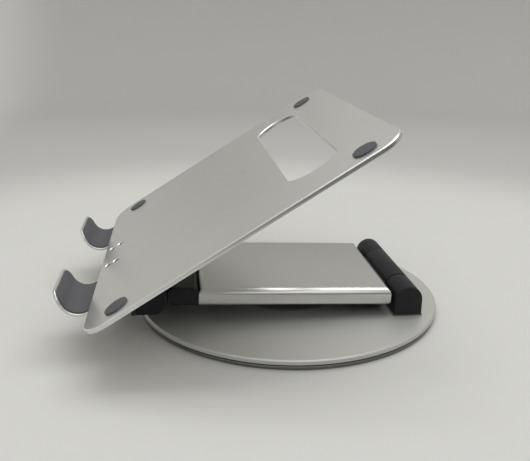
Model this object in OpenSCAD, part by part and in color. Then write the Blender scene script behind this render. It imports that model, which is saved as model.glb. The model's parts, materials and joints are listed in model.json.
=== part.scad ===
// Swivelling laptop stand: a round base with a turntable, a flat arm on a rear hinge, and a
// windowed tray on a second hinge, with two lined hooks along its front edge.
// Origin: centre of the base on the desk. +Z up, -Y towards the user, +X to the user's right.

/* [Base] */
// diameter of the turntable
base_d = 230; // [180:1:280]
// thickness of the turntable plate
deck_t = 3.6; // [3.6:0.1:6]
// thickness of the ballast plate under it
ballast_t = 2.2; // [2.2:0.1:5]
// how far the ballast plate's rim sits inside the turntable's
ballast_inset = 0.5; // [0:0.5:6]
// height of the rubber ring that shows under the ballast plate
foot_h = 0.8; // [0.6:0.1:3]
// air gap between the two plates
deck_gap = 0.8; // [0.4:0.1:1.5]
// chamfer around the turntable's top edge
deck_chamfer = 0.9; // [0.4:0.1:1.4]
// diameter of the cap over the swivel
cap_d = 77; // [60:1:100]

/* [Hinges] */
// radius of every hinge knuckle
knuckle_r = 10.2; // [8:0.1:13]
// hinge axis to the face its blocks are mounted on
block_stand = 12.1; // [11:0.1:18]
// width over the two outer blocks
hinge_w = 112; // [80:1:140]
// width of one outer block
block_w = 26.6; // [18:0.1:32]
// gap between neighbouring knuckles
knuckle_gap = 0.8; // [0.8:0.1:2]
// diameter of the hinge pins
pin_d = 8; // [6:0.5:10]
// how far behind the base's centre the rear hinge sits
rear_y = 80.5; // [70:0.5:95]

/* [Arm] */
// distance between the two hinge axes
arm_reach = 183.3; // [140:0.1:220]
// width of the arm
arm_w = 107; // [70:1:130]
// thickness of the arm
arm_t = 12.8; // [11:0.1:16]
// wall of the hollow extrusion
arm_wall = 1.8; // [1.2:0.1:2.5]
// height of the arm's middle above the line of the axes
arm_rise = 1.6; // [0:0.1:2]
// angle of the arm above level, as it stands
arm_lift = 2.15; // [1.5:0.05:60]
// length of the front end piece that shows
nose_len = 21; // [14:0.1:30]
// thickness of the rear end flange
tail_t = 2; // [1.5:0.1:4]

/* [Tray] */
// width of the tray
tray_w = 256; // [220:1:300]
// depth of the tray from front edge to rear edge
tray_l = 220; // [200:1:260]
// sheet thickness
tray_t = 3; // [2.5:0.1:4]
// corner radius in plan
tray_r = 17; // [8:1:25]
// chamfer around the upper edge
tray_chamfer = 0.7; // [0.3:0.1:1]
// tilt of the tray above level, as it stands
tray_tilt = 32.2; // [20:0.1:45]
// front edge of the tray to the front hinge axis, along the tray
axis_back = 27.4; // [26.5:0.1:30]
// top of the tray down to the front hinge axis
axis_drop = 29.2; // [28:0.1:34]

/* [Window] */
// front edge of the tray to the window's front edge
win_from = 149.5; // [130:0.5:160]
// size of the window along the tray
win_l = 36; // [20:1:38]
// width of the window at the middle of its bowed ends
win_w = 186; // [120:1:200]
// radius of the bowed ends
win_end_r = 20; // [19:0.5:60]

/* [Hooks] */
// width of one hook
hook_w = 50; // [30:1:60]
// middle of the tray to the middle of a hook
hook_x = 63.5; // [50:0.5:85]
// radius of the rubber's inner face
hook_r = 10.4; // [8:0.1:14]
// thickness of the metal
hook_t = 1.8; // [1.4:0.1:2.4]
// height of the lip above the tray's surface
hook_h = 21.4; // [18:0.1:30]
// lean of the lip back over the tray
hook_lean = 5; // [0:1:15]
// corner radius of the lip
hook_corner = 9; // [3:0.5:10]

/* [Rubber] */
// thickness of the hooks' lining
liner_t = 1; // [0.8:0.1:1.5]
// bare metal rim left around the lining
liner_rim = 1.4; // [0.8:0.1:3]
// diameter of the tray pads
pad_d = 15.5; // [12:0.5:26]
// thickness of the tray pads
pad_t = 1.2; // [0.8:0.1:3]

/* [View] */
// which piece to draw

/* [Hidden] */
$fn = 64;

// heights of the base's layers
ballast_z = foot_h;
ballast_top = ballast_z + ballast_t;
deck_z = ballast_top + deck_gap;
deck_top = deck_z + deck_t;
foot_groove = 0.4;
foot_r = [97, 110];
centre_foot_r = 18;

// swivel: a flanged spigot up through the turntable, a keeper washer on top, and a thrust
// bearing between the plates
spigot_r = 8;
spigot_flange_r = 14;
run = 0.05;
keeper_r = 13;
keeper_t = 0.5;
keeper_seat = deck_z + 1;
cap_t = 0.75;
cap_seat = deck_top - 0.9;
race_r = [26.2, 33.8];
race_t = 0.5;
race_room = 0.2;
lower_race_z = ballast_top - 1.3;
ball_r = 1.1;
ball_ring = 30;
ball_count = 16;
ball_z = lower_race_z + race_t + run + ball_r;
upper_race_z = ball_z + ball_r + run;

// hinges
rear_z = deck_top + block_stand;
pin_r = pin_d / 2;
pin_len = hinge_w - 4;
bush_r = pin_r + 2;
knuckle_in = hinge_w / 2 - block_w;
knuckle_half = knuckle_in - knuckle_gap;
block_mid = hinge_w / 2 - block_w / 2;
foot_t = 0.8;
washer_r = knuckle_r - 2;
washer_t = knuckle_gap - 0.1;
screw_r = 2;
screw_head_r = 3.6;

// arm, worked out from the rear axis with -Y along the arm
root_clear = knuckle_r + 0.5;
tube_from = root_clear + tail_t;
tube_to = arm_reach - root_clear - nose_len;
arm_low = arm_rise - arm_t / 2;
arm_high = arm_rise + arm_t / 2;
neck_top = 3;
edge_top_r = 5;
edge_low_r = 2.5;
rib_x = arm_w / 6;
rib_t = 1.6;
tongue_len = 14;
arm_screw_x = [0.22 * arm_w, 0.4 * arm_w];

// front hinge axis, and the tray's frame on it
front_y = rear_y - arm_reach * cos(arm_lift);
front_z = rear_z + arm_reach * sin(arm_lift);

// bracket under the tray: a flange on the sheet and a web that carries the blocks
web_t = 3;
flange_t = 3;
flange_from = 3;
bracket_screw_u = [7, 14];
bracket_screw_x = 18.5;

// hooks: an arc that starts at the tray's edge and turns up into the lip
hook_out = hook_r + liner_t + hook_t;
hook_start = 0.6;
hook_steps = 20;
lip_len = (hook_h - hook_r - hook_out * sin(hook_lean)) / cos(hook_lean);

// pads: distance back from the tray's front edge, and distance to the right of its middle
pads_at = [[24, 114], [196.5, 114], [25, -108], [198, -103]];

// ---- shared shapes ----

module turned(points) rotate_extrude() polygon(points);

module ring(r_in, r_out, z, t) translate([0, 0, z]) difference() {
  cylinder(r = r_out, h = t);
  translate([0, 0, -1]) cylinder(r = r_in, h = t + 2);
}

// cylinder along X, centred
module bar_x(r, len, x = 0) translate([x, 0, 0]) rotate([0, 90, 0]) cylinder(r = r, h = len, center = true);

module both_sides() {
  children();
  mirror([1, 0, 0]) children();
}

// countersunk screw: head's face at z = 0, shank down along -Z
module csk_screw(r, head_r, len) {
  translate([0, 0, r - head_r]) cylinder(r1 = r, r2 = head_r, h = head_r - r);
  translate([0, 0, -len]) cylinder(r = r, h = len + r - head_r);
}

// the same with a cross recess in its head
module cross_screw(r, head_r, len) difference() {
  csk_screw(r, head_r, len);
  for (a = [0, 90]) rotate([0, 0, a]) cube([head_r * 1.1, head_r * 0.26, head_r * 0.6], center = true);
}

// D-shaped block: round about the axis, flat where it is mounted, pointing down -Z
module block_section() {
  circle(r = knuckle_r);
  translate([-knuckle_r, -block_stand]) square([2 * knuckle_r, block_stand]);
}

module blocks(standing) both_sides() translate([block_mid, 0, 0]) difference() {
  rotate([90, 0, 90]) linear_extrude(block_w, center = true) difference() {
    block_section();
    translate([-knuckle_r - 1, -block_stand - 1]) square([2 * knuckle_r + 2, 1 + standing]);
  }
  bar_x(pin_r, block_w, (pin_len - hinge_w) / 2);
}

module washers() both_sides() translate([knuckle_in - knuckle_gap / 2, 0, 0]) difference() {
  bar_x(washer_r, washer_t);
  bar_x(pin_r, washer_t + 2);
}

module in_rear_hinge() translate([0, rear_y, rear_z]) children();

module in_arm() in_rear_hinge() rotate([-arm_lift, 0, 0]) children();

module in_front_hinge() translate([0, front_y, front_z]) children();

// X across the tray, Y from its front edge, Z up from its upper face
module in_tray() in_front_hinge() rotate([tray_tilt, 0, 0]) translate([0, -axis_back, axis_drop]) children();

// ---- base ----

module ballast_plate() color("silver") turned([
  [spigot_r, ballast_z + 1], [spigot_flange_r, ballast_z + 1], [spigot_flange_r, ballast_z],
  [foot_r[0], ballast_z], [foot_r[0], ballast_z + foot_groove],
  [foot_r[1], ballast_z + foot_groove], [foot_r[1], ballast_z],
  [base_d / 2 - ballast_inset - 0.4, ballast_z], [base_d / 2 - ballast_inset, ballast_z + 0.4],
  [base_d / 2 - ballast_inset, ballast_top - 0.3], [base_d / 2 - ballast_inset - 0.3, ballast_top],
  [race_r[1] + race_room, ballast_top], [race_r[1] + race_room, lower_race_z],
  [race_r[0] - race_room, lower_race_z], [race_r[0] - race_room, ballast_top],
  [spigot_r, ballast_top]
]);

module foot_ring() color("dimgray") ring(foot_r[0], foot_r[1], 0, foot_h + foot_groove);

module centre_foot() color("dimgray") cylinder(r = centre_foot_r, h = foot_h);

module swivel_spigot() color("gainsboro") difference() {
  turned([
    [0, ballast_z], [spigot_flange_r, ballast_z], [spigot_flange_r, ballast_z + 1],
    [spigot_r, ballast_z + 1], [spigot_r, keeper_seat + run], [0, keeper_seat + run]
  ]);
  translate([0, 0, ballast_z + 0.3]) cylinder(r = 2.5, h = 10);
}

module lower_race() color("gainsboro") ring(race_r[0], race_r[1], lower_race_z, race_t);

module ball_cage() color("goldenrod") difference() {
  ring(race_r[0] + 0.8, race_r[1] - 0.8, ball_z - 0.5, 1);
  for (i = [0 : ball_count - 1]) rotate([0, 0, i * 360 / ball_count])
    translate([ball_ring, 0, ball_z - 2]) cylinder(r = ball_r + 0.15, h = 4);
}

module bearing_balls() color("white") for (i = [0 : ball_count - 1])
  rotate([0, 0, i * 360 / ball_count]) translate([ball_ring, 0, ball_z]) sphere(r = ball_r);

module keeper_washer() color("gainsboro") ring(2.5, keeper_r, keeper_seat + run, keeper_t);

module swivel_screw() color("gray") difference() {
  turned([
    [0, ballast_z + 0.3], [2.5, ballast_z + 0.3], [2.5, keeper_seat + run + keeper_t],
    [6, keeper_seat + run + keeper_t], [6, cap_seat - 0.5], [5.7, cap_seat - 0.2], [0, cap_seat - 0.2]
  ]);
  translate([0, 0, cap_seat - 0.9]) cylinder(d = 5, h = 2, $fn = 6);
}

// ---- turntable and rear hinge ----

module turntable() color("silver") difference() {
  turned([
    [spigot_r + run, deck_z], [race_r[0] - race_room, deck_z],
    [race_r[0] - race_room, upper_race_z + race_t], [race_r[1] + race_room, upper_race_z + race_t],
    [race_r[1] + race_room, deck_z], [base_d / 2 - 0.4, deck_z], [base_d / 2, deck_z + 0.4],
    [base_d / 2, deck_top - deck_chamfer], [base_d / 2 - deck_chamfer, deck_top],
    [cap_d / 2 + 0.6, deck_top], [cap_d / 2 + 0.6, cap_seat], [keeper_r + 0.5, cap_seat],
    [keeper_r + 0.5, keeper_seat], [spigot_r + run, keeper_seat]
  ]);
  rear_screw_places() csk_screw(screw_r, screw_head_r, 12);
}

module upper_race() color("gainsboro") ring(race_r[0], race_r[1], upper_race_z, race_t);

module centre_cap() color("silver") turned([
  [0, cap_seat], [cap_d / 2, cap_seat], [cap_d / 2, cap_seat + cap_t - 0.3],
  [cap_d / 2 - 0.3, cap_seat + cap_t], [0, cap_seat + cap_t]
]);

module rear_screw_places() both_sides() for (dx = [-6.5, 6.5])
  translate([block_mid + dx, rear_y, deck_z]) mirror([0, 0, 1]) children();

module rear_foot() color("darkslategray") difference() {
  translate([-hinge_w / 2 - 0.4, rear_y - knuckle_r - 0.7, deck_top])
    cube([hinge_w + 0.8, 2 * knuckle_r + 1.2, foot_t]);
  rear_screw_places() csk_screw(screw_r, screw_head_r, 12);
}

module rear_blocks() color([0.13, 0.13, 0.15]) difference() {
  in_rear_hinge() blocks(foot_t);
  rear_screw_places() csk_screw(screw_r, screw_head_r, 10);
}

module rear_block_screws() color("gray") rear_screw_places() cross_screw(screw_r, screw_head_r, 10);

module rear_pin() color("gainsboro") in_rear_hinge() bar_x(pin_r, pin_len);

module rear_washers() color("gray") in_rear_hinge() washers();

// ---- arm ----

// outline of the arm's section, shrunk by inset, in X and height
module arm_outline(inset = 0) {
  hw = arm_w / 2 - inset;
  top = arm_high - inset;
  low = arm_low + inset;
  rt = edge_top_r - inset;
  rl = edge_low_r - inset;
  translate([-hw + rt, 0]) square([2 * (hw - rt), top]);
  translate([-hw + rl, low]) square([2 * (hw - rl), -low]);
  translate([-hw, low + rl]) square([2 * hw, top - rt - low - rl]);
  for (s = [-1, 1]) {
    translate([s * (hw - rt), top - rt]) circle(r = rt);
    translate([s * (hw - rl), low + rl]) circle(r = rl);
  }
}

// the hollows left between the tube's walls and its two ribs
module arm_hollow(clear = 0) difference() {
  arm_outline(arm_wall + clear);
  for (s = [-1, 1]) translate([s * rib_x - rib_t / 2 - clear, arm_low]) square([rib_t + 2 * clear, arm_t]);
}

// length of the arm's section from y = -from to y = -to
module along_arm(from, to) translate([0, -from, 0]) rotate([90, 0, 0]) linear_extrude(to - from) children();

module arm_screw_places() both_sides()
  for (x = arm_screw_x, y = [tube_from + tongue_len / 2, tube_to - tongue_len / 2])
    translate([x, -y, arm_low]) mirror([0, 0, 1]) children();

module arm_tube() color("silver") in_arm() difference() {
  along_arm(tube_from, tube_to) difference() {
    arm_outline();
    arm_hollow();
  }
  arm_screw_places() csk_screw(1.5, 2.8, 6);
}

// round knuckle on the axis with a low neck out to the end piece, before its bore is cut
module arm_knuckle(toward) {
  bar_x(knuckle_r, 2 * knuckle_half);
  translate([-knuckle_half, toward > 0 ? 0 : -root_clear - 0.5, arm_low])
    cube([2 * knuckle_half, root_clear + 0.5, neck_top - arm_low]);
}

module arm_tail() color([0.15, 0.15, 0.17]) in_arm() difference() {
  union() {
    arm_knuckle(-1);
    along_arm(root_clear, tube_from) arm_outline();
    along_arm(tube_from, tube_from + tongue_len) arm_hollow();
  }
  bar_x(bush_r, hinge_w);
  arm_screw_places() csk_screw(1.5, 2.8, 6);
}

module arm_nose() color([0.15, 0.15, 0.17]) in_arm() difference() {
  union() {
    translate([0, -arm_reach, 0]) arm_knuckle(1);
    along_arm(tube_to, arm_reach - root_clear) arm_outline();
    along_arm(tube_to - tongue_len, tube_to) arm_hollow();
  }
  translate([0, -arm_reach, 0]) bar_x(bush_r, hinge_w);
  arm_screw_places() csk_screw(1.5, 2.8, 6);
}

module bush() difference() {
  bar_x(bush_r, 2 * knuckle_half);
  bar_x(pin_r + run, hinge_w);
}

module tail_bush() color("goldenrod") in_arm() bush();

module nose_bush() color("goldenrod") in_arm() translate([0, -arm_reach, 0]) bush();

module arm_screws() color("gray") in_arm() arm_screw_places() cross_screw(1.5, 2.8, 6);

// ---- tray ----

// rounded rectangle of the tray, from its front edge back
module tray_outline() {
  hw = tray_w / 2;
  translate([-hw + tray_r, 0]) square([tray_w - 2 * tray_r, tray_l]);
  translate([-hw, tray_r]) square([tray_w, tray_l - 2 * tray_r]);
  for (x = [-hw + tray_r, hw - tray_r], y = [tray_r, tray_l - tray_r]) translate([x, y]) circle(r = tray_r);
}

// straight front and rear edges between two bowed ends
module window_outline() {
  end_x = win_w / 2 - win_end_r;
  intersection() {
    translate([0, win_from + win_l / 2]) {
      square([2 * end_x, 3 * win_end_r], center = true);
      for (s = [-1, 1]) translate([s * end_x, 0]) circle(r = win_end_r);
    }
    translate([-win_w, win_from]) square([2 * win_w, win_l]);
  }
}

// triangular bar along X that takes the chamfer off an edge at the origin, facing -Y
module edge_cut(len) translate([-len / 2, 0, 0]) rotate([90, 0, 90]) linear_extrude(len)
  polygon([[-1, -tray_chamfer - 1], [tray_chamfer + 1, 1], [-1, 1]]);

// the same around one rounded corner, about the corner's centre
module corner_cut() rotate([0, 0, 180]) rotate_extrude(angle = 90)
  polygon([[tray_r - tray_chamfer - 1, 1], [tray_r + 1, 1], [tray_r + 1, -tray_chamfer - 1]]);

module tray_chamfers() {
  hw = tray_w / 2;
  edge_cut(tray_w - 2 * tray_r);
  translate([0, tray_l, 0]) rotate([0, 0, 180]) edge_cut(tray_w - 2 * tray_r);
  for (s = [-1, 1]) translate([s * hw, tray_l / 2, 0]) rotate([0, 0, s * 90]) edge_cut(tray_l - 2 * tray_r);
  translate([-hw + tray_r, tray_r, 0]) corner_cut();
  translate([hw - tray_r, tray_r, 0]) rotate([0, 0, 90]) corner_cut();
  translate([hw - tray_r, tray_l - tray_r, 0]) rotate([0, 0, 180]) corner_cut();
  translate([-hw + tray_r, tray_l - tray_r, 0]) rotate([0, 0, 270]) corner_cut();
}

module bracket_screw_places() both_sides() for (u = bracket_screw_u)
  translate([bracket_screw_x, u, 0]) children();

module tray() color("silver") in_tray() difference() {
  translate([0, 0, -tray_t]) linear_extrude(tray_t) difference() {
    tray_outline();
    window_outline();
  }
  tray_chamfers();
  bracket_screw_places() csk_screw(1.5, 3, 8);
}

module tray_pads() color("dimgray") in_tray()
  for (p = pads_at) translate([p[1], p[0], 0]) {
    cylinder(d = pad_d, h = pad_t - 0.3);
    translate([0, 0, pad_t - 0.3]) cylinder(d1 = pad_d, d2 = pad_d - 0.6, h = 0.3);
  }

// a point at a radius and angle from the bend's centre, and a step along the lip from it
function on_bend(r, a, along = 0) = [
  r * cos(a) + along * sin(hook_lean), r * sin(a) + along * cos(hook_lean)
];

// side view of a hook's sheet between two radii: a short flat, the bend and the straight lip
module hook_profile(r_in, r_out, len) {
  sweep = 90 + hook_lean;
  turn = [for (i = [0 : hook_steps]) 270 - sweep * i / hook_steps];
  back = [for (i = [hook_steps : -1 : 0]) turn[i]];
  polygon([
    [hook_start, -r_out], for (a = turn) on_bend(r_out, a), on_bend(r_out, 270 - sweep, len),
    on_bend(r_in, 270 - sweep, len), for (a = back) on_bend(r_in, a), [hook_start, -r_in]
  ]);
}

// front view of the same sheet, with the lip's top corners rounded to r
module hook_front(width, len, r) {
  translate([-width / 2, -3 * hook_out]) square([width, 3 * hook_out + len - r]);
  translate([-width / 2 + r, 0]) square([width - 2 * r, len]);
  for (s = [-1, 1]) translate([s * (width / 2 - r), len - r]) circle(r = r);
}

// one hook's metal or lining, with a rim left free all round its lip
module hook_sheet(r_in, r_out, rim) translate([0, -hook_start, hook_r]) intersection() {
  rotate([90, 0, 90]) linear_extrude(hook_w + 2, center = true) hook_profile(r_in, r_out, lip_len + 2);
  rotate([90 - hook_lean, 0, 0]) linear_extrude(6 * hook_out, center = true)
    hook_front(hook_w - 2 * rim, lip_len - rim, hook_corner - rim);
}

module hooks() color("silver") in_tray() for (s = [-1, 1]) translate([s * hook_x, 0, 0])
  hook_sheet(hook_r + liner_t, hook_out, 0);

module hook_liners() color("dimgray") in_tray() for (s = [-1, 1]) translate([s * hook_x, 0, 0])
  hook_sheet(hook_r, hook_r + liner_t, liner_rim);

// ---- front hinge ----

// a point on a plane drop below the tray's upper face, back from its front edge, seen from the
// front axis as [y, z]
function under_tray(back, drop) = [
  (back - axis_back) * cos(tray_tilt) - (axis_drop - drop) * sin(tray_tilt),
  (back - axis_back) * sin(tray_tilt) + (axis_drop - drop) * cos(tray_tilt)
];

// height of that plane above the front axis at a distance y from it
function under_tray_z(y, drop) = (axis_drop - drop) / cos(tray_tilt) + y * tan(tray_tilt);

module front_screw_places() both_sides() for (dx = [-6.5, 6.5])
  translate([block_mid + dx, -block_stand - web_t, 0]) rotate([90, 0, 0]) children();

module tray_bracket() color([0.16, 0.16, 0.18]) difference() {
  in_front_hinge() difference() {
    rotate([90, 0, 90]) linear_extrude(hinge_w, center = true) polygon([
      [-block_stand, -knuckle_r], [-block_stand, under_tray_z(-block_stand, tray_t)],
      under_tray(flange_from, tray_t), under_tray(flange_from, tray_t + flange_t),
      [-block_stand - web_t, under_tray_z(-block_stand - web_t, tray_t + flange_t)],
      [-block_stand - web_t, -knuckle_r]
    ]);
    front_screw_places() csk_screw(screw_r, screw_head_r, 12);
  }
  in_tray() bracket_screw_places() csk_screw(1.5, 3, 8);
}

module front_blocks() color([0.13, 0.13, 0.15]) in_front_hinge() difference() {
  rotate([-90, 0, 0]) blocks(0);
  front_screw_places() csk_screw(screw_r, screw_head_r, 10);
}

module front_block_screws() color("gray") in_front_hinge()
  front_screw_places() cross_screw(screw_r, screw_head_r, 10);

module front_pin() color("gainsboro") in_front_hinge() bar_x(pin_r, pin_len);

module front_washers() color("gray") in_front_hinge() washers();

module bracket_screws() color("gray") in_tray() bracket_screw_places() cross_screw(1.5, 3, tray_t + flange_t);

ballast_plate();
foot_ring();
centre_foot();
swivel_spigot();
lower_race();
ball_cage();
bearing_balls();
keeper_washer();
swivel_screw();
turntable();
upper_race();
centre_cap();
rear_foot();
rear_blocks();
rear_block_screws();
rear_pin();
rear_washers();
arm_tube();
arm_tail();
arm_nose();
tail_bush();
nose_bush();
arm_screws();
tray();
hooks();
hook_liners();
tray_pads();
tray_bracket();
front_blocks();
front_block_screws();
front_pin();
front_washers();
bracket_screws();
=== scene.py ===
# %% [markdown]
# # A swivelling laptop stand
# A round base turns on a thrust bearing. A flat arm rises from a hinge at its rear, and a second
# hinge at the arm's front carries a tray with two lined hooks. The CAD model already holds every
# size and every joint, so this script only adds what the eye needs: soft edges, real finishes,
# light and a camera. Each piece is modelled around the CAD node that it stands for, and rides on
# the same body, so it turns, lifts and tilts with it.

# %% Load the frame
import json
import math
import bpy
from mathutils import Matrix, Vector

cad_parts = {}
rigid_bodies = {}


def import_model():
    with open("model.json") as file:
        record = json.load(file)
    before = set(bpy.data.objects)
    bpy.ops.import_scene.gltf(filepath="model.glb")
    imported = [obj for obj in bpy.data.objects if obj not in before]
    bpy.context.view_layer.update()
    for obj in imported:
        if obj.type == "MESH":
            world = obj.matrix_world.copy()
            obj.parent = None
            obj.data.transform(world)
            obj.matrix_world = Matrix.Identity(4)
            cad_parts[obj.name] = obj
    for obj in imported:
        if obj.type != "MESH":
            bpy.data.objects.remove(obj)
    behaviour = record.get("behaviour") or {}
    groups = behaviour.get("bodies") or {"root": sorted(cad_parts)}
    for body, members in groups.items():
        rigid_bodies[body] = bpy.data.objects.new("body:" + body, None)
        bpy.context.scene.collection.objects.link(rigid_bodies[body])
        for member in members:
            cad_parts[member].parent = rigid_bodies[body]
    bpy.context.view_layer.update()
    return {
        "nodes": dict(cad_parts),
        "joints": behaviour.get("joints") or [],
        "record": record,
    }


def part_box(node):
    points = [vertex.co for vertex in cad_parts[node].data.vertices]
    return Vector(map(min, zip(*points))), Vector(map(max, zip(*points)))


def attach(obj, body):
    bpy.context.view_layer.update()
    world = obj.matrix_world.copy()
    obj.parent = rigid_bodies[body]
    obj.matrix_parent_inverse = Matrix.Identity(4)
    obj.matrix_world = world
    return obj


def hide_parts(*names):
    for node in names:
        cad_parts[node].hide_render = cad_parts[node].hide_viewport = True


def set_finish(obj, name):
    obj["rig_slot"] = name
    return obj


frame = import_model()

nodes = frame["nodes"]
joints = {j["name"]: Vector(j["pos_m"]) for j in frame["joints"]}
mounts = {m["name"]: m for m in frame["record"]["mounts"]}

# %% [markdown]
# ## Measuring the CAD model
# Blender works in metres, and this stand is drawn in millimetres, so MM turns one into the other.
# Every place comes from the CAD nodes. A box along X, Y and Z isn't enough here, because the arm
# and the tray lean, so reach() measures a node along any direction, and turned_size() measures
# a round node about the swivel axis. Points that lie closer together than WELD are merged, and a
# shape that cuts another one reaches PAST its surface, so that no two faces lie on each other.

# %% Measures
MM = 0.001
WELD = 0.002 * MM
PAST = 1 * MM
RIGHT = Vector((1, 0, 0))
UP = Vector((0, 0, 1))


def reach(node, way):
    along = [v.co.dot(way) for v in nodes[node].data.vertices]
    return min(along), max(along)


def turned_size(node):
    radii = [math.hypot(v.co.x, v.co.y) for v in nodes[node].data.vertices]
    low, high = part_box(node)
    return min(radii), max(radii), low.z, high.z


def nearest_x(node):
    return min(abs(v.co.x) for v in nodes[node].data.vertices)


# %% [markdown]
# ## Working flat
# The tray is easiest to model lying flat, as it would lie on a bench, and to lean afterwards.
# leaning() makes the matrix for that: X across the stand, Y back along the part, Z out of its
# upper face. The tray's lean comes from the mount that a laptop rests on, and the arm's from the
# line between its two hinges.

# %% Frames of the leaning parts
def leaning(origin, up):
    turn = Matrix((RIGHT, up.cross(RIGHT), up)).transposed().to_4x4()
    turn.translation = origin
    return turn


tray_up = Vector(mounts["device_rest"]["axis"]).normalized()
tray_back = tray_up.cross(RIGHT)
tray_front, tray_rear = reach("tray", tray_back)
tray_under, tray_top = reach("tray", tray_up)
tray_place = leaning(tray_back * tray_front + tray_up * tray_top, tray_up)

rear_axis, front_axis = joints["arm_lift"], joints["tray_tilt"]
arm_back = (rear_axis - front_axis).normalized()
arm_up = RIGHT.cross(arm_back)
arm_place = leaning(rear_axis, arm_up)
print("tray leans", round(math.degrees(math.asin(tray_back.z)), 1), "degrees")

# %% [markdown]
# ## Bench tools
# Blender's operators act on whatever is selected, so the first tools make sure that only one
# piece is. choose() then selects vertices or edges by a test on their place, which is what a hand
# would do with a box select. The others are the few moves that all the pieces share: a box, a rod,
# a turned shape, a cut, and the softened edge that every real part has.

# %% Selecting
def clear():
    if bpy.context.mode != "OBJECT":
        bpy.ops.object.mode_set(mode="OBJECT")
    bpy.ops.object.select_all(action="DESELECT")


def hold(piece):
    clear()
    piece.select_set(True)
    bpy.context.view_layer.objects.active = piece


def edit(piece, kind="VERT", select="SELECT"):
    hold(piece)
    bpy.ops.object.mode_set(mode="EDIT")
    bpy.ops.mesh.select_mode(type=kind)
    bpy.ops.mesh.select_all(action=select)


def choose(piece, kind, test):
    edit(piece, kind, "DESELECT")
    bpy.ops.object.mode_set(mode="OBJECT")
    mesh = piece.data
    points = [v.co for v in mesh.vertices]
    if kind == "VERT":
        for v in mesh.vertices:
            v.select = test(v.co)
    else:
        for e in mesh.edges:
            e.select = test(*[points[i] for i in e.vertices])
    bpy.ops.object.mode_set(mode="EDIT")


def near(a, b, tolerance=0.02 * MM):
    return abs(a - b) < tolerance


# %% Modifiers and cuts
def modify(piece, kind, **settings):
    hold(piece)
    modifier = piece.modifiers.new(kind, kind)
    for name, value in settings.items():
        setattr(modifier, name, value)
    bpy.ops.object.modifier_apply(modifier=modifier.name)
    return piece


def combine(piece, other, operation):
    modify(piece, "BOOLEAN", object=other, operation=operation, solver="EXACT")
    bpy.data.objects.remove(other)
    return piece


def cut(piece, *tools):
    for tool in tools:
        combine(piece, tool, "DIFFERENCE")
    return piece


def weld(piece, *others):
    for other in others:
        combine(piece, other, "UNION")
    return piece


def tidy_faces(piece):
    edit(piece)
    bpy.ops.mesh.remove_doubles(threshold=WELD)
    bpy.ops.mesh.dissolve_limited(angle_limit=math.radians(0.5))
    bpy.ops.mesh.normals_make_consistent(inside=False)
    clear()
    return piece


def soften(piece, width, segments=2, angle=28):
    return modify(piece, "BEVEL", width=width, segments=segments, limit_method="ANGLE",
                  angle_limit=math.radians(angle), harden_normals=False, use_clamp_overlap=True,
                  miter_outer="MITER_ARC")


def join(pieces):
    clear()
    for piece in pieces:
        piece.select_set(True)
    bpy.context.view_layer.objects.active = pieces[0]
    bpy.ops.object.join()
    return bpy.context.object


# %% Primitives, each with its place in its mesh
def settle(piece, matrix=None):
    if matrix is not None:
        piece.matrix_world = matrix @ piece.matrix_world
    hold(piece)
    bpy.ops.object.transform_apply(location=True, rotation=True, scale=True)
    return piece


def box(low, high):
    clear()
    low, high = Vector(low), Vector(high)
    bpy.ops.mesh.primitive_cube_add(size=1, location=(low + high) / 2)
    bpy.context.object.scale = high - low
    return settle(bpy.context.object)


def rod(radius, length, centre=(0, 0, 0), steps=96, turn=(0, math.pi / 2, 0)):
    clear()
    bpy.ops.mesh.primitive_cylinder_add(vertices=steps, radius=radius, depth=length,
                                        location=centre, rotation=turn)
    return settle(bpy.context.object)


def turned(outline, steps=256):
    """Extrudes and scales a circle from point to point of a closed (radius, height) outline."""
    clear()
    solid = outline[0][0] == 0
    rings = [point for point in outline if point[0] > 0]
    radius, height = rings[0]
    bpy.ops.mesh.primitive_circle_add(vertices=steps, radius=radius, enter_editmode=True,
                                      fill_type="TRIFAN" if solid else "NOTHING")
    bpy.ops.transform.translate(value=(0, 0, height))
    for next_radius, next_height in rings[1:] + ([] if solid else rings[:1]):
        scale = next_radius / radius
        bpy.ops.mesh.extrude_region_move()
        bpy.ops.transform.resize(value=(scale, scale, 1), center_override=(0, 0, 0))
        bpy.ops.transform.translate(value=(0, 0, next_height - height))
        radius, height = next_radius, next_height
    piece = bpy.context.object
    edit(piece)
    bpy.ops.mesh.remove_doubles(threshold=WELD)
    bpy.ops.mesh.normals_make_consistent(inside=False)
    clear()
    return piece


# %% Handing a finished piece over
def hand_over(piece, name, body, slot, *stands_for):
    piece.name = piece.data.name = name
    hold(piece)
    bpy.ops.object.shade_smooth_by_angle(angle=math.radians(32))
    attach(piece, body)
    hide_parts(*stands_for)
    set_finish(piece, slot)
    print(name, len(piece.data.polygons), "faces")
    return piece


# %% [markdown]
# ## The turntable
# The plate that the hinge stands on is a disc of aluminium turned on a lathe: a flat face, a
# chamfer around its rim, a shallow seat for the cap and a groove below for the bearing. A disc
# could be a cylinder with a bevel, but a turned outline makes the seat and the groove in the same
# pass, and 256 steps keep the rim round where it is seen against the light.

# %% Turntable
bore_r, deck_r, deck_low, deck_high = turned_size("turntable")
race_in, race_out, _, race_top = turned_size("upper_race")
_, keeper_r, keeper_seat, _ = turned_size("keeper_washer")
_, cap_r, cap_low, cap_high = turned_size("centre_cap")
race_room, cap_room, keeper_room = 0.2 * MM, 0.6 * MM, 0.5 * MM
deck_chamfer, under_chamfer = 0.9 * MM, 0.4 * MM
keeper_floor = keeper_seat - 0.05 * MM

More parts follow.
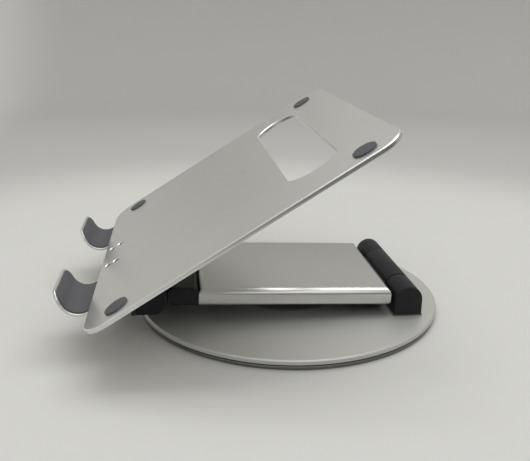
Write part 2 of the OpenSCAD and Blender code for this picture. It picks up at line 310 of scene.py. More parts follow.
turntable = turned([
    (bore_r, deck_low), (race_in - race_room, deck_low), (race_in - race_room, race_top),
    (race_out + race_room, race_top), (race_out + race_room, deck_low),
    (deck_r - under_chamfer, deck_low), (deck_r, deck_low + under_chamfer),
    (deck_r, deck_high - deck_chamfer), (deck_r - deck_chamfer, deck_high),
    (cap_r + cap_room, deck_high), (cap_r + cap_room, cap_low), (keeper_r + keeper_room, cap_low),
    (keeper_r + keeper_room, keeper_floor), (bore_r, keeper_floor),
])
soften(turntable, 0.14 * MM, segments=3)
hand_over(turntable, "turntable_plate", "turntable", "deck_aluminium", "turntable")

# %% [markdown]
# ## The cap, the ballast plate and the feet
# The same lathe outline makes the cap that hides the swivel, the steel plate that gives the base
# its weight, and the rubber ring and foot that it stands on. Rubber is moulded, so its edges are
# rounder than the metal's.

# %% Cap
cap_edge = 0.3 * MM
centre_cap = turned([(0, cap_low), (cap_r, cap_low), (cap_r, cap_high - cap_edge),
                     (cap_r - cap_edge, cap_high), (0, cap_high)], steps=192)
soften(centre_cap, 0.06 * MM)
hand_over(centre_cap, "swivel_cap", "turntable", "deck_aluminium", "centre_cap")

# %% Ballast plate
spigot_bore, plate_r, plate_low, plate_high = turned_size("ballast_plate")
ring_in, ring_out, ring_low, ring_high = turned_size("foot_ring")
race_floor = turned_size("lower_race")[2]
flange_r, flange_top = 14 * MM, plate_low + 1 * MM
plate_chamfer = 0.3 * MM
ballast_plate = turned([
    (spigot_bore, flange_top), (flange_r, flange_top), (flange_r, plate_low),
    (ring_in, plate_low), (ring_in, ring_high), (ring_out, ring_high), (ring_out, plate_low),
    (plate_r - under_chamfer, plate_low), (plate_r, plate_low + under_chamfer),
    (plate_r, plate_high - plate_chamfer), (plate_r - plate_chamfer, plate_high),
    (race_out + race_room, plate_high), (race_out + race_room, race_floor),
    (race_in - race_room, race_floor), (race_in - race_room, plate_high), (spigot_bore, plate_high),
])
soften(ballast_plate, 0.08 * MM)
hand_over(ballast_plate, "ballast_disc", "base", "ballast_steel", "ballast_plate")

# %% Feet
foot_ring = turned([(ring_in, ring_low), (ring_out, ring_low), (ring_out, ring_high),
                    (ring_in, ring_high)])
soften(foot_ring, 0.3 * MM, segments=3)
hand_over(foot_ring, "rubber_foot_ring", "base", "foot_rubber", "foot_ring")

_, centre_r, centre_low, centre_high = turned_size("centre_foot")
centre_foot = turned([(0, centre_low), (centre_r, centre_low), (centre_r, centre_high),
                      (0, centre_high)], steps=96)
soften(centre_foot, 0.25 * MM, segments=3)
hand_over(centre_foot, "rubber_centre_foot", "base", "foot_rubber", "centre_foot")

# %% [markdown]
# ## Hinge blocks
# Each hinge has two outer blocks with a D-shaped end: round about the pin and flat where it is
# screwed down. A rod is cut in half by a bisect along its middle, and the open edge is pulled out
# to the flat. The flat of the rear blocks points down and that of the front blocks points
# towards the user, so the block is modelled once and turned. The pin's bore stops short of the
# outer face, as it does on the real part.

# %% Hinge measures
hinge_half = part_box("rear_blocks")[1].x
block_in = nearest_x("rear_blocks")
knuckle_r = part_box("rear_blocks")[1].z - rear_axis.z
pin_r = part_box("rear_pin")[1].z - rear_axis.z
pin_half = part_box("rear_pin")[1].x


def hinge_block(stand):
    """A block on the +X side of a hinge on the origin, with its flat a distance stand below."""
    width = hinge_half - block_in
    piece = rod(knuckle_r, width, ((hinge_half + block_in) / 2, 0, 0), steps=128)
    edit(piece)
    bpy.ops.mesh.bisect(plane_co=(0, 0, 0), plane_no=(0, 0, -1), clear_outer=True)
    choose(piece, "EDGE", lambda a, b: near(a.z, 0) and near(b.z, 0))
    bpy.ops.mesh.extrude_region_move(TRANSFORM_OT_translate={"value": (0, 0, -stand)})
    choose(piece, "EDGE", lambda a, b: near(a.z, -stand) and near(b.z, -stand))
    bpy.ops.mesh.edge_face_add()
    tidy_faces(piece)
    cut(piece, rod(pin_r, pin_half, (pin_half / 2, 0, 0), steps=64))
    return soften(piece, 0.7 * MM, segments=4)


def mirrored_pair(piece):
    """Adds the same piece on the other side of the stand, as part of one mesh."""
    return modify(piece, "MIRROR", use_axis=(True, False, False), use_mirror_merge=False)


# %% Rear and front blocks
rear_stand = rear_axis.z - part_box("rear_blocks")[0].z
rear_blocks = mirrored_pair(hinge_block(rear_stand))
settle(rear_blocks, Matrix.Translation(rear_axis))
hand_over(rear_blocks, "rear_hinge_blocks", "turntable", "hinge_black", "rear_blocks")

front_stand = front_axis.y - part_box("front_blocks")[0].y
front_blocks = mirrored_pair(hinge_block(front_stand))
settle(front_blocks, Matrix.Translation(front_axis) @ Matrix.Rotation(-math.pi / 2, 4, "X"))
hand_over(front_blocks, "front_hinge_blocks", "tray", "hinge_black", "front_blocks")

# %% [markdown]
# ## The plate under the rear blocks
# A thin dark plate spreads the blocks' load over the turntable. It is a box with softened edges.

# %% Rear foot plate
rear_foot = box(*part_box("rear_foot"))
soften(rear_foot, 0.2 * MM)
hand_over(rear_foot, "rear_foot_plate", "turntable", "foot_plate_steel", "rear_foot")

# %% [markdown]
# ## The arm
# The arm is an aluminium extrusion with black end pieces pushed into it. Its section is a flat
# box whose upper corners are rounder than its lower ones, so the four long edges are bevelled in
# two passes. The inside is three hollows between two ribs, cut with three more boxes. The end
# pieces have the same outline, so they share arm_bar().

# %% Arm measures
arm_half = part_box("arm_tube")[1].x
origin_back, origin_up = rear_axis.dot(arm_back), rear_axis.dot(arm_up)
tube_front, tube_rear = [v - origin_back for v in reach("arm_tube", arm_back)]
arm_low, arm_high = [v - origin_up for v in reach("arm_tube", arm_up)]
top_round, low_round = 5 * MM, 2.5 * MM
wall, rib, rib_x = 1.8 * MM, 1.6 * MM, arm_half / 3
arm_reach = (rear_axis - front_axis).length


def long_edges(piece, height, half, offset, segments):
    """Rounds the two edges that run along Y at a height and at half the width."""
    choose(piece, "EDGE", lambda a, b: all(near(p.z, height) and near(abs(p.x), half) for p in (a, b)))
    bpy.ops.mesh.bevel(offset=offset, segments=segments, affect="EDGES")


def arm_bar(front, rear, inset=0.0):
    half, low, high = arm_half - inset, arm_low + inset, arm_high - inset
    piece = box((-half, front, low), (half, rear, high))
    long_edges(piece, high, half, top_round - inset, 12)
    long_edges(piece, low, half, low_round - inset, 8)
    clear()
    return piece


# %% Extrusion
def arm_hollow(front, rear, clearance=0.0):
    """What fills the tube between its walls and ribs: the tube's hollows, or an end's tongues."""
    piece = arm_bar(front, rear, wall + clearance)
    half = rib / 2 + clearance
    for x in (-rib_x, rib_x):
        cut(piece, box((x - half, front - PAST, arm_low), (x + half, rear + PAST, arm_high)))
    return piece


arm_tube = arm_bar(tube_front, tube_rear)
cut(arm_tube, arm_hollow(tube_front - PAST, tube_rear + PAST))
tidy_faces(arm_tube)
soften(arm_tube, 0.12 * MM)
settle(arm_tube, arm_place)
hand_over(arm_tube, "arm_extrusion", "arm", "arm_aluminium", "arm_tube")

# %% [markdown]
# ## The arm's end pieces
# Each end piece is a block of the arm's own section, a neck, a round knuckle on the hinge axis
# and tongues that reach into the extrusion. They are welded into one solid with boolean unions,
# bored for the bush, and then softened as one, so the edge where neck and knuckle meet looks
# moulded.

# %% End pieces
bush_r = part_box("tail_bush")[1].z - rear_axis.z
knuckle_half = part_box("tail_bush")[1].x
neck_top, neck_end = 3 * MM, 1 * MM
overlap = 0.5 * MM
root_gap = knuckle_r + 0.5 * MM
tongue, tongue_play = 14 * MM, 0.05 * MM


def arm_end(axis_y, body_front, body_rear, neck_from, neck_to, tongue_from, tongue_to):
    piece = arm_bar(body_front, body_rear)
    weld(piece, box((-knuckle_half, neck_from, arm_low), (knuckle_half, neck_to, neck_top)),
         rod(knuckle_r, 2 * knuckle_half, (0, axis_y, 0), steps=128))
    cut(piece, rod(bush_r, 4 * knuckle_half, (0, axis_y, 0), steps=64))
    tidy_faces(piece)
    soften(piece, 0.4 * MM, segments=3)
    weld(piece, arm_hollow(tongue_from, tongue_to, tongue_play))
    return settle(piece, arm_place)


arm_tail = arm_end(0, tube_rear, -root_gap, -root_gap - overlap, -neck_end,
                   tube_rear - tongue, tube_rear + overlap)
hand_over(arm_tail, "arm_rear_end", "arm", "hinge_black", "arm_tail")

nose_front = -arm_reach + root_gap
arm_nose = arm_end(-arm_reach, nose_front, tube_front, -arm_reach + neck_end, nose_front + overlap,
                   tube_front - overlap, tube_front + tongue)
hand_over(arm_nose, "arm_front_end", "arm", "hinge_black", "arm_nose")

# %% [markdown]
# ## The tray
# The tray is cut from aluminium sheet. A box gives the sheet, a bevel of its four upright edges
# gives the rounded corners, and a bar with two round ends cuts the window. Its upper edges are
# then milled with a small flat chamfer, which shows as a bright line, so those faces get a
# finish of their own.

# %% Tray sheet
tray_w = 2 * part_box("tray")[1].x
tray_l = tray_rear - tray_front
tray_t = tray_top - tray_under
tray_r = 17 * MM
tray_chamfer = 0.7 * MM
window_from, window_l, window_w, window_r = 149.5 * MM, 36 * MM, 186 * MM, 20 * MM

tray = box((-tray_w / 2, 0, -tray_t), (tray_w / 2, tray_l, 0))
choose(tray, "EDGE", lambda a, b: not near(a.z, b.z))
bpy.ops.mesh.bevel(offset=tray_r, segments=24, affect="EDGES")

# %% Window
window_y = window_from + window_l / 2
end_x = window_w / 2 - window_r
window = box((-end_x, window_from, -2 * tray_t), (end_x, window_from + window_l, 2 * tray_t))
for side in (-1, 1):
    bow = rod(window_r, 3 * tray_t, (side * end_x, window_y, 0), steps=192, turn=(0, 0, 0))
    edit(bow)
    for edge_y, out in ((window_from, -1), (window_from + window_l, 1)):
        bpy.ops.mesh.select_all(action="SELECT")
        bpy.ops.mesh.bisect(plane_co=(0, edge_y, 0), plane_no=(0, out, 0), clear_outer=True,
                            use_fill=True)
    weld(window, bow)
cut(tray, window)
tidy_faces(tray)
choose(tray, "EDGE", lambda a, b: near(a.z, 0) and near(b.z, 0))
bpy.ops.mesh.bevel(offset=tray_chamfer, segments=1, affect="EDGES")
clear()

# %% Screw holes
head_r, shank_r = 3 * MM, 1.5 * MM
screw_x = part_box("bracket_screws")[1].x - head_r
first_row, last_row = [v - tray_front for v in reach("bracket_screws", tray_back)]
screw_places = [(x, y) for x in (-screw_x, screw_x) for y in (first_row + head_r, last_row - head_r)]
hole_r, sink_r, sink_depth = 1.6 * MM, 3.5 * MM, 1.9 * MM
for x, y in screw_places:
    hole = turned([(0, -2 * tray_t), (hole_r, -2 * tray_t), (hole_r, -sink_depth),
                   (sink_r, 0), (sink_r, PAST), (0, PAST)], steps=48)
    cut(tray, settle(hole, Matrix.Translation((x, y, 0))))
print(len(screw_places), "countersunk holes")

# %% [markdown]
# The sheet's two large faces now run all the way around the window, and a face like that can be
# filled in the wrong way when it is split into triangles. One straight cut along the sheet's
# middle and one across the window's middle leave no face that closes around the window, and a
# third sets the front corners apart.

# %% Split the large faces
back, front_strip = Vector((0, 1, 0)), 20 * MM
for on, way in (((0, 0, 0), RIGHT), ((0, window_y, 0), back), ((0, front_strip, 0), back)):
    edit(tray)
    bpy.ops.mesh.bisect(plane_co=on, plane_no=way)
soften(tray, 0.12 * MM, angle=60)
settle(tray, tray_place)
hand_over(tray, "tray_sheet", "tray", "tray_aluminium", "tray")

# %% [markdown]
# ## Hooks
# Each hook is a strip of the sheet, bent up and slightly back over the tray. It starts as a short
# flat, is spun about the bend's axis, and is then extruded straight to the lip. The two upper
# corners are rounded while it is still a flat sheet, and Solidify then gives it its thickness.
# The rubber lining is the same shape, a little smaller, so both come from one function.

# %% Hook shape
hook_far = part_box("hooks")[1].x
hook_near = nearest_x("hooks")
hook_x, hook_w = (hook_far + hook_near) / 2, hook_far - hook_near
hook_flat, bend_r, hook_lean = 0.6 * MM, 10.4 * MM, math.radians(5)
hook_t, liner_t, liner_rim, hook_corner = 1.8 * MM, 1.0 * MM, 1.4 * MM, 9 * MM
hook_height = 21.4 * MM
metal_out = bend_r + liner_t + hook_t
lip_l = (hook_height - bend_r - metal_out * math.sin(hook_lean)) / math.cos(hook_lean)


def bent_strip(radius, width, lip, corner):
    """A strip without thickness on the inner radius of a bend, with its lip's corners rounded."""
    clear()
    centre = Vector((0, -hook_flat, bend_r))
    bpy.ops.mesh.primitive_plane_add(size=1, location=(0, -hook_flat / 2, bend_r - radius))
    piece = bpy.context.object
    piece.scale = (width, hook_flat, 1)
    settle(piece)
    choose(piece, "EDGE", lambda a, b: near(a.y, -hook_flat) and near(b.y, -hook_flat))
    bpy.ops.mesh.spin(steps=28, angle=math.pi / 2 + hook_lean, center=centre, axis=(1, 0, 0))
    tip = centre + radius * Vector((0, -math.cos(hook_lean), math.sin(hook_lean)))
    choose(piece, "EDGE",
           lambda a, b: (a - b).length > 0.9 * width and near(a.z, tip.z) and near(b.z, tip.z))
    rise = lip * Vector((0, math.sin(hook_lean), math.cos(hook_lean)))
    bpy.ops.mesh.extrude_region_move(TRANSFORM_OT_translate={"value": rise})
    edit(piece)
    bpy.ops.mesh.remove_doubles(threshold=WELD)
    choose(piece, "VERT", lambda p: near(p.z, tip.z + rise.z))
    bpy.ops.mesh.bevel(offset=corner, segments=10, affect="VERTICES")
    clear()
    return piece


def both_hooks(strip, thickness, edge):
    """Gives a strip its thickness and its rounded edges, and sets one at each side of the tray."""
    modify(strip, "SOLIDIFY", thickness=thickness, offset=-1)
    edit(strip)
    bpy.ops.mesh.normals_make_consistent(inside=False)
    clear()
    soften(strip, edge, segments=3)
    modify(strip, "ARRAY", count=2, use_relative_offset=False, use_constant_offset=True,
           constant_offset_displace=(2 * hook_x, 0, 0))
    return settle(strip, tray_place @ Matrix.Translation((-hook_x, 0, 0)))


# %% Metal hooks and their lining
hooks = both_hooks(bent_strip(bend_r + liner_t, hook_w, lip_l, hook_corner), hook_t, 0.45 * MM)
hand_over(hooks, "tray_hooks", "tray", "tray_aluminium", "hooks")

lining = bent_strip(bend_r, hook_w - 2 * liner_rim, lip_l - liner_rim, hook_corner - liner_rim)
hand_over(both_hooks(lining, liner_t, 0.3 * MM), "hook_linings", "tray", "pad_rubber", "hook_liners")

# %% [markdown]
# ## Tray pads
# Four rubber discs keep the laptop off the metal. They were stuck on by hand, so they don't sit
# quite evenly, and each place is measured from the CAD solid. Each pad is turned, rounded and
# set in its place.

# %% Pads
pad_t = reach("tray_pads", tray_up)[1] - tray_top
to_tray = tray_place.inverted()
pad_points = [to_tray @ v.co for v in nodes["tray_pads"].data.vertices]


def pad_place(side_x, rear):
    """Middle and radius of the pad in one quarter of the tray."""
    mine = [p for p in pad_points if p.x * side_x > 0 and (p.y > tray_l / 2) == rear]
    (left, right), (front, back) = [(min(c), max(c)) for c in zip(*[(p.x, p.y) for p in mine])]
    return (left + right) / 2, (front + back) / 2, (right - left) / 2


pads = []
for side_x in (-1, 1):
    for rear in (False, True):
        x, y, pad_r = pad_place(side_x, rear)
        pad = turned([(0, 0), (pad_r, 0), (pad_r, pad_t), (0, pad_t)], steps=96)
        soften(pad, 0.35 * MM, segments=4)
        pads.append(settle(pad, tray_place @ Matrix.Translation((x, y, 0))))
hand_over(join(pads), "tray_pad_discs", "tray", "pad_rubber", "tray_pads")

# %% [markdown]
# ## The bracket under the tray
# A folded steel angle carries the front blocks. Its CAD node already has the right outline, with
# the tray's lean in it, so a copy of that mesh is merged, its flat faces are joined again and its
# edges are softened.

# %% Bracket
def refined_copy(node, width, segments=2):
    piece = nodes[node].copy()
    piece.data = nodes[node].data.copy()
    piece.parent = None
    for key in list(piece.keys()):
        del piece[key]
    bpy.context.scene.collection.objects.link(piece)
    piece.data.materials.clear()
    tidy_faces(piece)
    return soften(piece, width, segments)


bracket = refined_copy("tray_bracket", 0.4 * MM, 3)
hand_over(bracket, "tray_angle_bracket", "tray", "bracket_black", "tray_bracket")

# %% [markdown]
# ## Screws
# The heads that show are small countersunk screws with a cross recess. One is turned, its cross
# is cut with two thin bars, and copies are set in the CAD screws' places.

# %% Screw shape
def cross_screw(shank, head, length):
    """A screw with its head's face on the origin and its shank down -Z."""
    tip, rim = 0.3 * MM, 0.12 * MM
    piece = turned([(0, -length), (shank - tip, -length), (shank, tip - length), (shank, shank - head),
                    (head - rim, -rim), (head - 0.2 * MM, 0), (0, 0)], steps=48)
    slot_half, slot_wide, slot_deep = 0.7 * head, 0.15 * head, 0.45 * head
    for degrees in (20, 110):
        bar = box((-slot_half, -slot_wide, -slot_deep), (slot_half, slot_wide, head))
        cut(piece, settle(bar, Matrix.Rotation(math.radians(degrees), 4, "Z")))
    return piece


def screw_group(name, body, slot, node, screw, places):
    group = []
    for place in places:
        one = screw.copy()
        one.data = screw.data.copy()
        bpy.context.scene.collection.objects.link(one)
        group.append(settle(one, place))
    bpy.data.objects.remove(screw)
    return hand_over(join(group), name, body, slot, node)


# %% Screws that show
sunk = 0.4 * MM
bracket_tip, bracket_head = reach("bracket_screws", tray_up)
screw_group(
    "tray_bracket_screws", "tray", "bracket_screw_steel", "bracket_screws",
    cross_screw(shank_r, head_r, bracket_head - bracket_tip - sunk),
    [tray_place @ Matrix.Translation((x, y, -sunk)) for x, y in screw_places])

# %% Screws of the front blocks
front_face, front_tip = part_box("front_block_screws")[0].y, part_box("front_block_screws")[1].y
facing_front = Matrix.Rotation(math.pi / 2, 4, "X")
block_mid = (hinge_half + block_in) / 2
block_shank, block_head, block_step = 2 * MM, 3.55 * MM, 6.5 * MM
screw_group(
    "front_bracket_screws", "tray", "fastener_steel", "front_block_screws",
    cross_screw(block_shank, block_head, front_tip - front_face),
    [Matrix.Translation((side * block_mid + step, front_face, front_axis.z)) @ facing_front
     for side in (-1, 1) for step in (-block_step, block_step)])

# %% Screws of the arm's end pieces
facing_down = Matrix.Rotation(math.pi, 4, "X")
arm_shank, arm_head, arm_screw_l = 1.5 * MM, 2.75 * MM, 6 * MM
screw_xs = [side * share * arm_half for side in (-1, 1) for share in (0.44, 0.8)]
screw_group(
    "arm_end_screws", "arm", "fastener_steel", "arm_screws", cross_screw(arm_shank, arm_head, arm_screw_l),
    [arm_place @ Matrix.Translation((x, y, arm_low)) @ facing_down
     for x in screw_xs for y in (tube_rear - tongue / 2, tube_front + tongue / 2)])

# %% [markdown]
# ## Shader maths
# A finish is a small sum over the surface: a base value, plus grain, plus wear. Nodes can say
# that, but a drawing of twenty nodes is hard to read, so Wire lets a sum on sockets be written as
# a sum in Python, and each operator adds its Math node. Finish holds one material, and its add()
# makes any other node.

# %% Wires and finishes
class Wire:
    def __init__(self, finish, socket):
        self.finish, self.socket = finish, socket

    def math(self, operation, first, second):
        return self.finish.add("Math", {"operation": operation}, {0: first, 1: second})

    def __add__(self, other):
        return self.math("ADD", self, other)

    def __sub__(self, other):
        return self.math("SUBTRACT", self, other)

    def __rsub__(self, other):
        return self.math("SUBTRACT", other, self)

    def __mul__(self, other):
        return self.math("MULTIPLY", self, other)

    def __pow__(self, other):
        return self.math("POWER", self, other)

    __radd__ = __add__
    __rmul__ = __mul__


class Finish:
    def __init__(self, name, colour, roughness, metallic=0.0, **constants):
        self.material = bpy.data.materials.new(name)
        self.material.use_nodes = True
        self.nodes, self.links = self.material.node_tree.nodes, self.material.node_tree.links
        self.shader = self.nodes["Principled BSDF"]
        self.colour = (*colour, 1)
        self.set("Base Color", self.colour)
        self.set("Roughness", roughness)
        self.set("Metallic", metallic)
        for socket, value in constants.items():
            self.set(socket.replace("_", " "), value)
        self.place = self.add("TexCoord", output="Object")

    def axes(self):
        """X, Y and Z of the place on the surface."""
        split = self.add("SeparateXYZ", None, {"Vector": self.place}).socket.node
        return [Wire(self, output) for output in split.outputs]

    def plug(self, socket, value):
        if isinstance(value, Wire):
            self.links.new(value.socket, socket)
        else:
            socket.default_value = value

    def set(self, socket, value):
        self.plug(self.shader.inputs[socket], value)

    def add(self, kind, settings=None, sockets=None, output=0):
        node = self.nodes.new("ShaderNode" + kind)
        for name, value in (settings or {}).items():
            setattr(node, name, value)
        for name, value in (sockets or {}).items():
            self.plug(node.inputs[name], value)
        return Wire(self, node.outputs[output])

    def noise(self, size, stretch=(1, 1, 1), turn=(0, 0, 0), detail=2.0):
        """Noise from 0 to 1 whose features are about size metres, stretched along X, Y or Z."""
        at = self.add("Mapping", None, {"Vector": self.place, "Rotation": turn})
        at = self.add("Mapping", None, {"Vector": at, "Scale": [1 / (size * s) for s in stretch]})
        return self.add("TexNoise", None, {"Vector": at, "Scale": 1.0, "Detail": detail})

    def mask(self, value, low, high):
        """0 below low, 1 above high, and smooth between."""
        return self.add("MapRange", {"interpolation_type": "SMOOTHSTEP"},
                        {"Value": value, "From Min": low, "From Max": high})

    def blend(self, factor, first, second):
        sockets = {0: factor, 6: first, 7: second}
        return self.add("Mix", {"data_type": "RGBA"}, sockets, output=2)

    def tint(self, share):
        return (*[c * share for c in self.colour[:3]], 1)

    def shade(self, amount, dark, light):
        """Base colour from dark to light copies of itself, by amount."""
        self.set("Base Color", self.blend(amount, self.tint(dark), self.tint(light)))

    def bump(self, height, depth, strength=1.0):
        self.set("Normal", self.add("Bump", None, {"Height": height, "Distance": depth,
                                                   "Strength": strength}))


# %% [markdown]
# ## Aluminium
# The sheet parts are blasted with fine glass beads and anodised, which leaves a silky grey with a
# grain of a few tenths of a millimetre, a little unevenness in tone over a hand's width, and a
# few faint handling marks. All of it is small, because a strong pattern would look like stone.
# The base's discs have a chalkier skin that scatters more light, so they are less metallic. The
# tray's chamfer is milled after blasting, so it stays bright, with fine marks along the cut.

# %% Aluminium finishes
def blasted_aluminium(name, colour, roughness, metallic=0.9):
    finish = Finish(name, colour, roughness, metallic)
    grain = finish.noise(0.28 * MM, detail=3.0)
    pits = finish.noise(0.9 * MM)
    clouds = finish.noise(55 * MM, detail=3.0)
    marks = finish.mask(finish.noise(5 * MM, stretch=(6, 1, 1), turn=(0, 0, 0.5)), 0.66, 0.8)
    finish.shade(0.45 * grain + 0.55 * clouds, 0.94, 1.06)
    finish.set("Roughness", roughness + 0.05 * (clouds - 0.5) + 0.06 * (grain - 0.5) - 0.03 * marks)
    finish.bump(0.7 * grain + 0.3 * pits, 0.012 * MM, 0.5)
    return finish.material


def chalky_aluminium(name, colour, roughness):
    return blasted_aluminium(name, colour, roughness, metallic=0.65)


def milled_edge(name, colour, roughness):
    finish = Finish(name, colour, roughness, 1.0)
    lines = finish.noise(0.12 * MM, stretch=(1, 1, 14))
    finish.shade(lines, 0.95, 1.05)
    finish.set("Roughness", roughness + 0.08 * (lines - 0.5))
    return finish.material


def drawn_aluminium(name, colour, roughness):
    """An extrusion: fine die lines along its length, which runs nearly along Y."""
    finish = Finish(name, colour, roughness, 1.0)
    lines = finish.noise(0.22 * MM, stretch=(1, 260, 1), turn=(-arm_back.z, 0, 0))
    bands = finish.noise(3.5 * MM, stretch=(1, 90, 1), turn=(-arm_back.z, 0, 0))
    grain = finish.noise(0.3 * MM)
    clouds = finish.noise(45 * MM)
    finish.shade(0.35 * lines + 0.25 * bands + 0.4 * clouds, 0.94, 1.06)
    finish.set("Roughness", roughness + 0.05 * (lines - 0.5) + 0.04 * (clouds - 0.5))
    finish.bump(0.6 * lines + 0.4 * grain, 0.008 * MM, 0.5)
    return finish.material


# %% [markdown]
# ## Steel, brass and chrome
# Turned parts carry rings about their axis. The distance from the swivel axis, put through a
# noise, gives those rings, and a second, broad noise breaks them up. Small screws and pins
# only need a ground finish with fine scratches.

# %% Steel finishes
def turned_metal(name, colour, roughness):
    finish = Finish(name, colour, roughness, 1.0)
    x, y, _ = finish.axes()
    rings_apart = 0.35 * MM
    across_rings = (x * x + y * y) ** 0.5 * (1 / rings_apart)
    rings = finish.add("TexNoise", {"noise_dimensions": "1D"}, {"W": across_rings, "Scale": 1.0})
    clouds = finish.noise(20 * MM)
    finish.shade(0.6 * rings + 0.4 * clouds, 0.9, 1.08)
    finish.set("Roughness", roughness + 0.1 * (rings - 0.5) + 0.05 * (clouds - 0.5))
    finish.bump(rings, 0.01 * MM, 0.4)
    return finish.material


def ground_metal(name, colour, roughness):
    finish = Finish(name, colour, roughness, 1.0)
    scratches = finish.noise(0.15 * MM, stretch=(20, 1, 1), turn=(0, 0, 0.3))
    film = finish.noise(3 * MM)
    finish.shade(0.5 * scratches + 0.5 * film, 0.86, 1.1)
    finish.set("Roughness", roughness + 0.1 * (scratches - 0.5) + 0.08 * (film - 0.5))
    finish.bump(scratches, 0.006 * MM, 0.4)
    return finish.material


# %% [markdown]
# ## Black parts and rubber
# The hinge blocks and the arm's ends have a fine matt moulded grain, a shade lighter and darker
# in patches. The bracket is powder coated, with a coarser orange-peel surface. The rubber is
# dark grey with a bluish cast, with a dense fine grain, and a little pale dust in places.

# %% Black and rubber finishes
def moulded_black(name, colour, roughness):
    finish = Finish(name, colour, roughness, Specular_IOR_Level=0.2)
    grain = finish.noise(0.45 * MM, detail=3.0)
    patches = finish.noise(14 * MM)
    finish.shade(0.5 * grain + 0.5 * patches, 0.55, 1.0)
    finish.set("Roughness", roughness + 0.12 * (grain - 0.5) + 0.08 * (patches - 0.5))
    finish.bump(grain, 0.05 * MM, 0.45)
    return finish.material


def powder_coat(name, colour, roughness):
    finish = Finish(name, colour, roughness, Specular_IOR_Level=0.5)
    peel = finish.noise(1.1 * MM, detail=1.0)
    grain = finish.noise(0.3 * MM)
    finish.shade(0.5 * peel + 0.5 * grain, 0.8, 1.25)
    finish.set("Roughness", roughness + 0.1 * (peel - 0.5))
    finish.bump(0.7 * peel + 0.3 * grain, 0.04 * MM, 0.5)
    return finish.material


def dense_rubber(name, colour, roughness):
    finish = Finish(name, colour, roughness, Specular_IOR_Level=0.22)
    grain = finish.noise(0.35 * MM, detail=3.0)
    cast = finish.noise(9 * MM)
    dust = finish.mask(finish.noise(0.8 * MM, detail=4.0), 0.62, 0.75)
    body = finish.blend(0.5 * grain + 0.5 * cast, finish.tint(0.72), finish.tint(0.92))
    finish.set("Base Color", finish.blend(0.5 * dust, body, finish.tint(1.1)))
    finish.set("Roughness", roughness + 0.08 * (cast - 0.5) + 0.06 * dust)
    finish.bump(grain, 0.03 * MM, 0.4)
    return finish.material


# %% [markdown]
# ## One finish for each slot
# The record names a material slot for every CAD node, with its colour. This table adds what a
# colour can't say: which finish it is, and how rough. Polished balls are near 0, and rubber near 1.

# %% Finishes by slot
finish_of = {
    "deck_aluminium": (chalky_aluminium, 0.48), "tray_aluminium": (blasted_aluminium, 0.30),
    "arm_aluminium": (drawn_aluminium, 0.33), "ballast_steel": (turned_metal, 0.34),
    "bearing_steel": (turned_metal, 0.22), "cage_brass": (turned_metal, 0.3),
    "bush_brass": (ground_metal, 0.3), "ball_chrome": (ground_metal, 0.06),
    "fastener_steel": (ground_metal, 0.32), "pin_steel": (ground_metal, 0.25),
    "washer_steel": (ground_metal, 0.4), "bracket_screw_steel": (ground_metal, 0.26),
    "hinge_black": (moulded_black, 0.5), "bracket_black": (powder_coat, 0.5),
    "foot_plate_steel": (powder_coat, 0.42), "pad_rubber": (dense_rubber, 0.7),
    "foot_rubber": (dense_rubber, 0.75),
}
looks = {}
for entry in frame["record"]["materials"]:
    slot = entry["slot"]
    make, roughness = finish_of[slot]
    looks[slot] = make(slot, entry["base_color"], roughness)
slot_of = {part["node"]: part["material_slot"] for part in frame["record"]["subparts"]}
print(len(looks), "finishes")

# %% [markdown]
# ## Dressing every piece
# Each CAD node that still shows, and each new piece, takes the finish of its slot. Two pieces
# have faces with a finish of their own: the arm's flat underside is painted near black as painted
# shade, and the tray's chamfer is milled. Both kinds of face are picked by their slope.

# %% Dress the pieces
def dress(piece, material):
    piece.data.materials.clear()
    piece.data.materials.append(material)


for name, node in nodes.items():
    dress(node, looks[slot_of[name]])
for piece in bpy.data.objects:
    if piece.type == "MESH" and "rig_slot" in piece:
        dress(piece, looks[piece["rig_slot"]])

# %% Faces with a second finish
def second_finish(piece, material, test):
    piece.data.materials.append(material)
    chosen = [face for face in piece.data.polygons if test(face)]
    for face in chosen:
        face.material_index = 1
    print(material.name, "on", len(chosen), "faces")


def under_arm(face):
    height = face.center.dot(arm_up) - origin_up
    return face.normal.dot(arm_up) < -0.95 and near(height, arm_low, 0.1 * MM)


def tray_slope(face):
    return 0.5 < face.normal.dot(tray_up) < 0.9


# The arm's flat underside is painted near black: painted shade where the arm shades itself and the disc
# below it.
second_finish(arm_tube, moulded_black("arm_under_painted_shade", (0.02, 0.02, 0.022), 0.6), under_arm)
second_finish(tray, milled_edge("tray_milled_edge", (0.86, 0.86, 0.84), 0.3), tray_slope)

# %% [markdown]
# ## Camera
# The stand is seen from its right, a little from above and from the front. The place and the
# lens come from lining up the CAD model's edges with the view that this render has to match.

# %% Camera
camera_at = Vector((485.73, -80.24, 213.9)) * MM
yaw, pitch, roll = (math.radians(angle) for angle in (7.28, -17.71, 0.71))
forward = Vector((-math.cos(yaw) * math.cos(pitch), math.sin(yaw) * math.cos(pitch), math.sin(pitch)))
level = forward.cross(UP).normalized()
above = level.cross(forward)
across = level * math.cos(roll) + above * math.sin(roll)
above = above * math.cos(roll) - level * math.sin(roll)
clear()
bpy.ops.object.camera_add()
camera = bpy.context.object
camera.matrix_world = Matrix.LocRotScale(camera_at, Matrix((across, above, -forward)).transposed(), None)
camera.data.sensor_width = 36
camera.data.lens = 45.42
bpy.context.scene.camera = camera
print("camera", round(1000 * camera_at.length), "mm from the swivel")
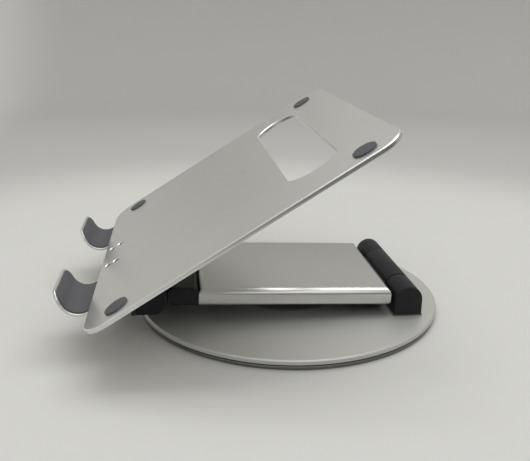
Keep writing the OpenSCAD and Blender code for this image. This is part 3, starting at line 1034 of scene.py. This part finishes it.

# %% [markdown]
# ## Studio
# The stand is on a pale sweep: a round floor that curves up into a low wall, so that it looks the
# same from every side and leaves no hard horizon. Satin metal shows what stands around it, so the
# tones painted on the paper matter as much as the lamps. It is greyer far away, a painted falloff
# of light; dark low down on the side that the arm and the discs' rims face, a painted shade of a
# dark room there; paler in front; and nearly white high up, a painted light of a bright ceiling.

# %% Tones of the sweep
paper = Finish("sweep_paper_painted_light", (0.62, 0.62, 0.60), 0.8)
x, y, z = paper.axes()
# Painted shade far away and low down on the +X side, and painted light high up on the wall.
painted_light_zones = [
    (paper.mask((x * x + y * y) ** 0.5, 0.36, 0.62), (0.48, 0.475, 0.46, 1)),
    (paper.mask(x, 0.22, 0.40) * (1 - paper.mask(z, 0.3, 0.5)), (0.06, 0.06, 0.06, 1)),
    (paper.mask(y * -1, 0.36, 0.6), (0.66, 0.65, 0.635, 1)),
    (paper.mask(z, 0.42, 0.66), (0.80, 0.79, 0.77, 1)),
]
tone = paper.colour
for painted_light_mask, colour in painted_light_zones:
    tone = paper.blend(painted_light_mask, tone, colour)
paper.set("Base Color", tone)

# %% Shape of the sweep
floor_r, wall_r, wall_h = 1.1, 1.5, 1.3
curve_steps = 12
clear()
bpy.ops.mesh.primitive_circle_add(vertices=128, radius=floor_r, fill_type="TRIFAN", enter_editmode=True)
sweep = bpy.context.object
choose(sweep, "EDGE", lambda a, b: near(a.length, floor_r) and near(b.length, floor_r))
radius, height = floor_r, 0
for step in range(1, curve_steps + 1):
    angle = step / curve_steps * math.pi / 2
    next_radius = floor_r + (wall_r - floor_r) * math.sin(angle)
    next_height = (wall_r - floor_r) * (1 - math.cos(angle))
    bpy.ops.mesh.extrude_region_move(TRANSFORM_OT_translate={"value": (0, 0, next_height - height)})
    scale = next_radius / radius
    bpy.ops.transform.resize(value=(scale, scale, 1), center_override=(0, 0, 0))
    radius, height = next_radius, next_height
bpy.ops.mesh.extrude_region_move(TRANSFORM_OT_translate={"value": (0, 0, wall_h - height)})
clear()
sweep.name = "studio_sweep"
dress(sweep, paper.material)
hold(sweep)
bpy.ops.object.shade_smooth()
print(sweep.name, len(sweep.data.polygons), "faces")

# %% [markdown]
# ## Lamps
# Large panels make soft shadows and broad highlights. Three hang overhead, and the fourth leans in
# from the side that the arm's rounded edge faces, which puts the bright line along that edge.

# %% Lamps
def panel(name, place, size_x, size_y, power, tilt=0.0):
    clear()
    bpy.ops.object.light_add(type="AREA", location=place, rotation=(0, tilt, 0))
    lamp = bpy.context.object
    lamp.name = name
    lamp.data.shape = "RECTANGLE"
    lamp.data.size, lamp.data.size_y = size_x, size_y
    lamp.data.energy = power
    lamp.visible_camera = False
    print(name, power, "W")


panel("panel_over", (0.0, 0.1, 1.5), 0.4, 2.0, 7)
panel("panel_behind", (-0.42, 0.2, 1.5), 0.22, 1.6, 5)
panel("panel_near", (0.75, 0.1, 1.45), 1.1, 1.3, 3.6)
panel("panel_viewer", (1.1, 0.0, 0.95), 0.42, 2.2, 2.8, tilt=math.radians(50))
world = bpy.data.worlds.new("studio")
world.use_nodes = True
world.node_tree.nodes["Background"].inputs["Color"].default_value = (0.46, 0.453, 0.44, 1)
bpy.context.scene.world = world
bpy.context.scene.view_settings.view_transform = "Standard"
